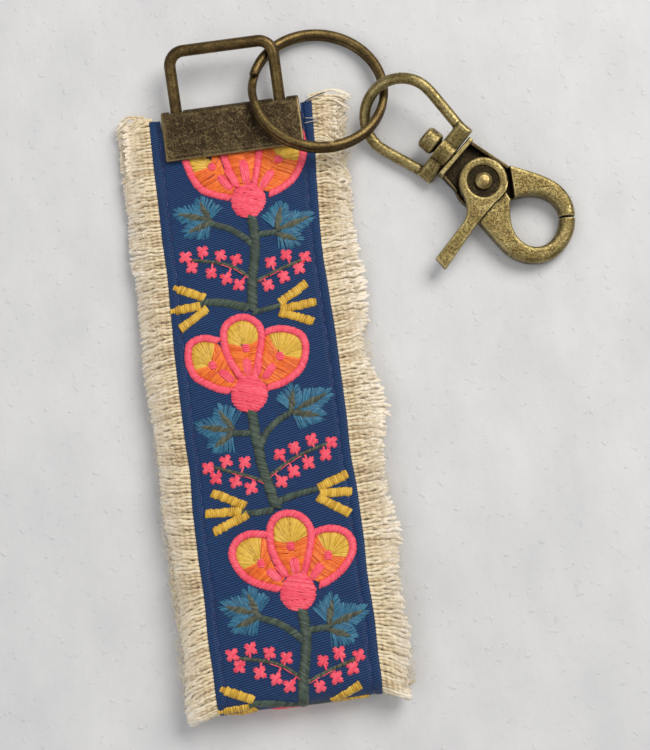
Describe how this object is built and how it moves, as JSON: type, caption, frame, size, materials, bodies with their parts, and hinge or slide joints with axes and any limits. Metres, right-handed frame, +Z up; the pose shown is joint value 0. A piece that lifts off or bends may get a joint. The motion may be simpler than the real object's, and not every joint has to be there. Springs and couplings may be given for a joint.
{
  "type": "wristlet keychain",
  "caption": "Folded embroidered ribbon wrist strap with frayed cotton edges, a metal end clamp with a wire loop, a split ring and a swivel scissor hook.",
  "frame": {"origin": "centre of the flat underside of the end clamp, which lies on the plane z = 0", "axes": "the strap runs from the clamp along -Y to its fold, +Y points from the clamp to the wire loop, +Z is up out of the surface the part lies on, +X is to the right seen from above"},
  "size_m": [0.1024, 0.1532, 0.0111],
  "materials": {
    "antique_brass": "antique plated, worn highlights",
    "dark_brass": "dark antique plated, mottled",
    "blue_ribbon": "fine twill ribbon with satin-stitch flowers",
    "cream_linen": "coarse cotton with frayed edges"
  },
  "bodies": {
    "strap_end": {"clamp_shell": "dark_brass", "ribbon_clamped_front": "blue_ribbon", "linen_clamped_front": "cream_linen", "ribbon_back_upper": "blue_ribbon", "linen_back_upper": "cream_linen"},
    "back_lower": {"ribbon_back_lower": "blue_ribbon", "linen_back_lower": "cream_linen"},
    "fold": {"ribbon_fold": "blue_ribbon", "linen_fold": "cream_linen"},
    "front_lower": {"ribbon_front_lower": "blue_ribbon", "linen_front_lower": "cream_linen"},
    "front_upper": {"ribbon_front_upper": "blue_ribbon", "linen_front_upper": "cream_linen"},
    "loop": {"wire_loop": "antique_brass"},
    "ring": {"split_ring": "antique_brass"},
    "d_loop": {"swivel_loop": "antique_brass"},
    "hook": {"hook_body": "antique_brass", "swivel_post": "antique_brass", "rivet": "antique_brass", "trigger_spring": "dark_brass"},
    "trigger_lever": {"trigger": "antique_brass"}
  },
  "joints": [
    {"name": "strap_open", "type": "hinge", "parent": "strap_end", "child": "back_lower", "pos_m": [0, -0.0645, 0.0023], "axis": [-1, 0, 0], "range_deg": [0, 40]},
    {"name": "fold_turn", "type": "hinge", "parent": "back_lower", "child": "fold", "pos_m": [0, -0.1265, 0.00465], "axis": [-1, 0, 0], "range_deg": [-20.2, 0.2]},
    {"name": "front_level", "type": "hinge", "parent": "fold", "child": "front_lower", "pos_m": [0, -0.1265, 0.00465], "axis": [-1, 0, 0], "range_deg": [-20.2, 0.2]},
    {"name": "front_bend", "type": "hinge", "parent": "front_lower", "child": "front_upper", "pos_m": [0, -0.0682, 0.00695], "axis": [-1, 0, 0], "range_deg": [-0.2, 40.2]},
    {"name": "loop_rock", "type": "hinge", "parent": "strap_end", "child": "loop", "pos_m": [-0.0004, 0.0036, 0.0028], "axis": [1, 0, 0], "range_deg": [0, 6]},
    {"name": "ring_swing", "type": "hinge", "parent": "loop", "child": "ring", "pos_m": [0.01103, 0.01774, 0.00386], "axis": [-0.7642, -0.6081, 0.2148], "range_deg": [0, 120]},
    {"name": "d_loop_swing", "type": "hinge", "parent": "ring", "child": "d_loop", "pos_m": [0.03393, -0.00076, 0.00535], "axis": [-0.4477, -0.8628, 0.2348], "range_deg": [0, 120]},
    {"name": "hook_swivel", "type": "hinge", "parent": "d_loop", "child": "hook", "pos_m": [0.0475, -0.0125, 0.0048], "axis": [0.6732, -0.7346, -0.0847], "continuous": true},
    {"name": "trigger_pull", "type": "hinge", "parent": "hook", "child": "trigger_lever", "pos_m": [0.05501, -0.02058, 0.00386], "axis": [-0.0572, 0.0624, -0.9964], "range_deg": [0, 28], "stiffness_Nm_per_rad": 0.08, "springref_deg": -17.19}
  ],
  "couplings": [
    {"joint": "fold_turn", "follows": "strap_open", "ratio": -0.5},
    {"joint": "front_level", "follows": "strap_open", "ratio": -0.5},
    {"joint": "front_bend", "follows": "strap_open", "ratio": 1}
  ]
}
